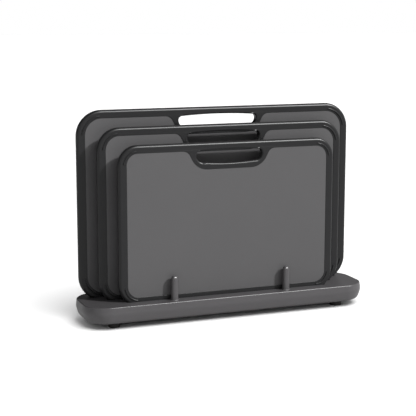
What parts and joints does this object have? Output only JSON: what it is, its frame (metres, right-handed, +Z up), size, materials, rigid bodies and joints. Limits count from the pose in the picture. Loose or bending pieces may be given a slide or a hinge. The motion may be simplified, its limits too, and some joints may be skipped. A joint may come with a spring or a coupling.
{
  "type": "cutting board set in a storage stand",
  "caption": "Graded reversible cutting boards with soft rims and handle slots, standing upright in a slotted storage stand with divider posts and rubber feet.",
  "frame": {"origin": "on the floor, under the middle of the stand", "axes": "+X to the right seen from the smallest board, +Y from the smallest board to the largest, +Z up, the way the boards lift out"},
  "size_m": [0.4104, 0.0946, 0.2847],
  "materials": {
    "stand_plastic": "fine moulded satin grey",
    "base_plastic": "plain moulded dark grey",
    "screw_steel": "zinc plated",
    "foot_rubber": "matt black rubber",
    "board_plastic": "fine mottled matt grey",
    "rim_rubber": "satin soft dark grey"
  },
  "bodies": {
    "stand": {"stand_shell": "stand_plastic", "stand_base_plate": "base_plastic", "base_plate_screws": "screw_steel", "foot_front_left": "foot_rubber", "foot_front_right": "foot_rubber", "foot_rear_left": "foot_rubber", "foot_rear_right": "foot_rubber"},
    "small_board": {"small_board_core": "board_plastic", "small_board_rim": "rim_rubber"},
    "medium_board": {"medium_board_core": "board_plastic", "medium_board_rim": "rim_rubber"},
    "large_board": {"large_board_core": "board_plastic", "large_board_rim": "rim_rubber"}
  },
  "joints": [
    {"name": "small_board_lift", "type": "slide", "parent": "stand", "child": "small_board", "axis": [0, 0, 1], "range_m": [0, 0.27]},
    {"name": "medium_board_lift", "type": "slide", "parent": "stand", "child": "medium_board", "axis": [0, 0, 1], "range_m": [0, 0.27]},
    {"name": "large_board_lift", "type": "slide", "parent": "stand", "child": "large_board", "axis": [0, 0, 1], "range_m": [0, 0.27]}
  ]
}
